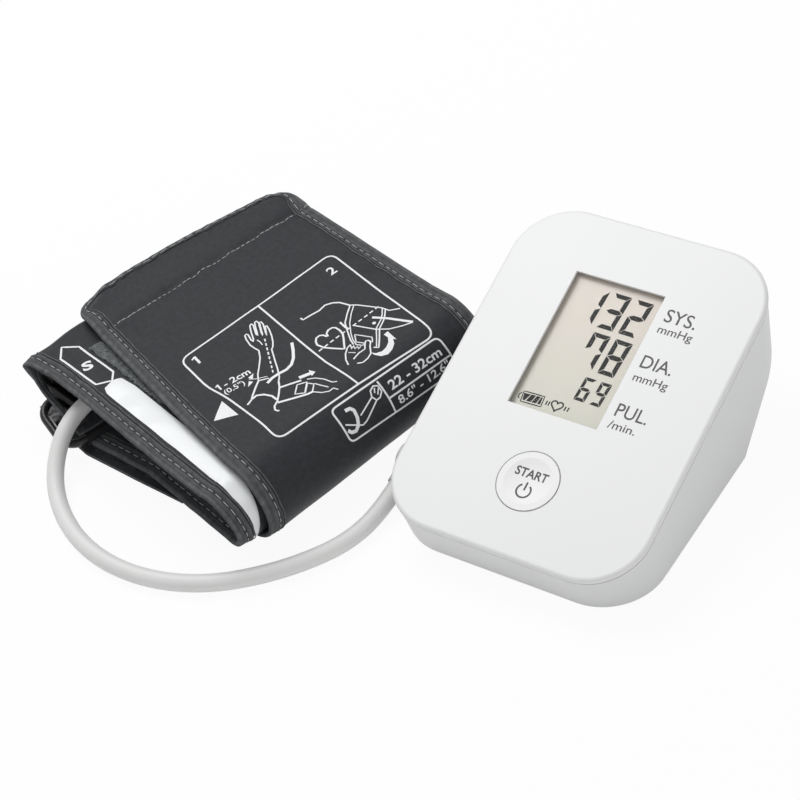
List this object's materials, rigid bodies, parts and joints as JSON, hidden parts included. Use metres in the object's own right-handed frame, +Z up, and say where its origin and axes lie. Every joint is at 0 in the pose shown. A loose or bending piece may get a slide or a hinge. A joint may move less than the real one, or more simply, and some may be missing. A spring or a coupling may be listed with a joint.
{
  "type": "arm blood pressure monitor with rolled cuff",
  "caption": "Wedge-shaped desk blood pressure monitor with a display and one round start button, joined by an air hose to a rolled-up D-ring arm cuff.",
  "frame": {"origin": "on the resting plane, under the middle of the box around the desk unit and cuff", "axes": "+X to the user's right across the desk unit, +Y away from the user, +Z up"},
  "size_m": [0.2736, 0.196, 0.0611],
  "materials": {
    "cover_white": "smooth satin",
    "case_white": "satin",
    "button_white": "satin",
    "lens": "clear",
    "display": "reflective liquid crystal",
    "inner_plastic": "moulded",
    "socket_grey": "moulded",
    "black_plastic": "moulded",
    "switch_plunger": "moulded",
    "board": "solder mask",
    "shield": "tinned",
    "steel": "plated",
    "rotor_steel": "laminated",
    "crank_plastic": "moulded",
    "foam_rubber": "foam",
    "tube_rubber": "smooth",
    "cell": "plain label",
    "cuff_cloth": "woven nylon",
    "tape": "woven binding tape",
    "hook": "hook tape",
    "loop": "loop pile",
    "bladder": "welded film",
    "ring": "black coated wire",
    "fitting": "moulded",
    "hose": "smooth"
  },
  "bodies": {
    "monitor_and_cuff": {"top_cover": "cover_white", "bottom_case": "case_white", "lcd_lens": "lens", "lcd_panel": "display", "lcd_holder": "inner_plastic", "pump_head": "inner_plastic", "pump_valve_plate": "inner_plastic", "air_manifold": "inner_plastic", "valve_body": "inner_plastic", "air_socket": "socket_grey", "switch_body": "black_plastic", "controller_chip": "black_plastic", "pressure_sensor": "black_plastic", "power_jack": "black_plastic", "main_board": "board", "radio_module": "shield", "board_screws": "steel", "case_screws": "steel", "battery_contacts": "steel", "motor_can": "steel", "pump_cushion": "foam_rubber", "rubber_feet": "foam_rubber", "lcd_connector": "foam_rubber", "air_tubes": "tube_rubber", "battery_1": "cell", "battery_2": "cell", "battery_3": "cell", "battery_4": "cell", "cuff_wrap": "cuff_cloth", "cuff_cloth": "cuff_cloth", "ring_sleeve": "cuff_cloth", "cuff_binding": "tape", "loop_patch": "loop", "cuff_bladder": "bladder", "bladder_port": "fitting", "air_plug": "fitting", "air_hose": "hose"},
    "button": {"start_button": "button_white"},
    "plunger": {"switch_plunger": "switch_plunger"},
    "rotor": {"motor_rotor": "rotor_steel", "pump_crank": "crank_plastic"},
    "valve": {"valve_plunger": "steel"},
    "battery_door": {"battery_cover": "case_white"},
    "ring": {"d_ring": "ring"},
    "flap": {"flap_cloth": "cuff_cloth", "flap_binding": "tape", "hook_patch": "hook"}
  },
  "joints": [
    {"name": "start_press", "type": "slide", "parent": "monitor_and_cuff", "child": "button", "axis": [0, 0.2857, -0.9583], "range_m": [0, 0.0008], "stiffness_N_per_m": 1500},
    {"name": "switch_press", "type": "slide", "parent": "monitor_and_cuff", "child": "plunger", "axis": [0, 0.2857, -0.9583], "range_m": [0, 0.0008]},
    {"name": "pump_spin", "type": "hinge", "parent": "monitor_and_cuff", "child": "rotor", "pos_m": [0.0424, 0.02466, 0.0142], "axis": [0, 1, 0], "continuous": true},
    {"name": "valve_stroke", "type": "slide", "parent": "monitor_and_cuff", "child": "valve", "axis": [0, 1, 0], "range_m": [0, 0.0008], "stiffness_N_per_m": 400},
    {"name": "battery_door_hinge", "type": "hinge", "parent": "monitor_and_cuff", "child": "battery_door", "pos_m": [0.0948, -0.01404, 0.002], "axis": [-1, 0, 0], "range_deg": [0, 70]},
    {"name": "ring_swing", "type": "hinge", "parent": "monitor_and_cuff", "child": "ring", "pos_m": [-0.08367, -0.00327, 0.00568], "axis": [0.4067, 0.9135, 0], "range_deg": [-12, 2]},
    {"name": "flap_lift", "type": "hinge", "parent": "monitor_and_cuff", "child": "flap", "pos_m": [-0.02105, -0.06398, 0.038], "axis": [0.2672, 0.9636, 0], "range_deg": [0, 100]}
  ],
  "couplings": [
    {"joint": "switch_press", "follows": "start_press", "ratio": 1}
  ]
}
